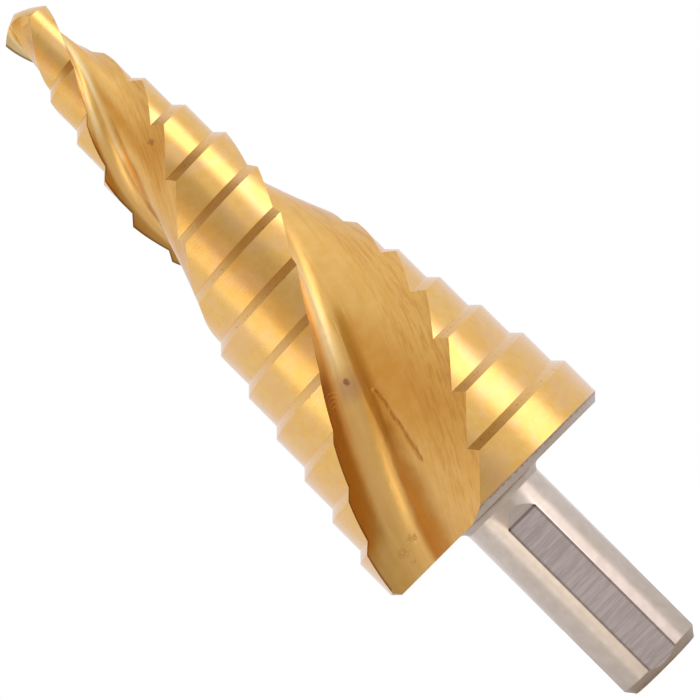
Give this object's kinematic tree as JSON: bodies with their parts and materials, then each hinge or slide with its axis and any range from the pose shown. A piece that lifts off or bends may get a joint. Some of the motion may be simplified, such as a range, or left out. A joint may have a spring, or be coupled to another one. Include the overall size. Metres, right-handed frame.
{
  "type": "step drill",
  "caption": "Stepped conical drill with spiral flutes, a pointed tip and a round shank with flats.",
  "frame": {"origin": "centre of the shank's end face, which the drill stands on", "axes": "+Z along the drill's axis, from the shank's end to the point; one flat of the shank faces -Y, turned 3.7 degrees towards +X"},
  "size_m": [0.03, 0.03, 0.0959],
  "materials": {
    "drill": "satin"
  },
  "bodies": {
    "root": {"step_drill": "drill"}
  },
  "joints": []
}
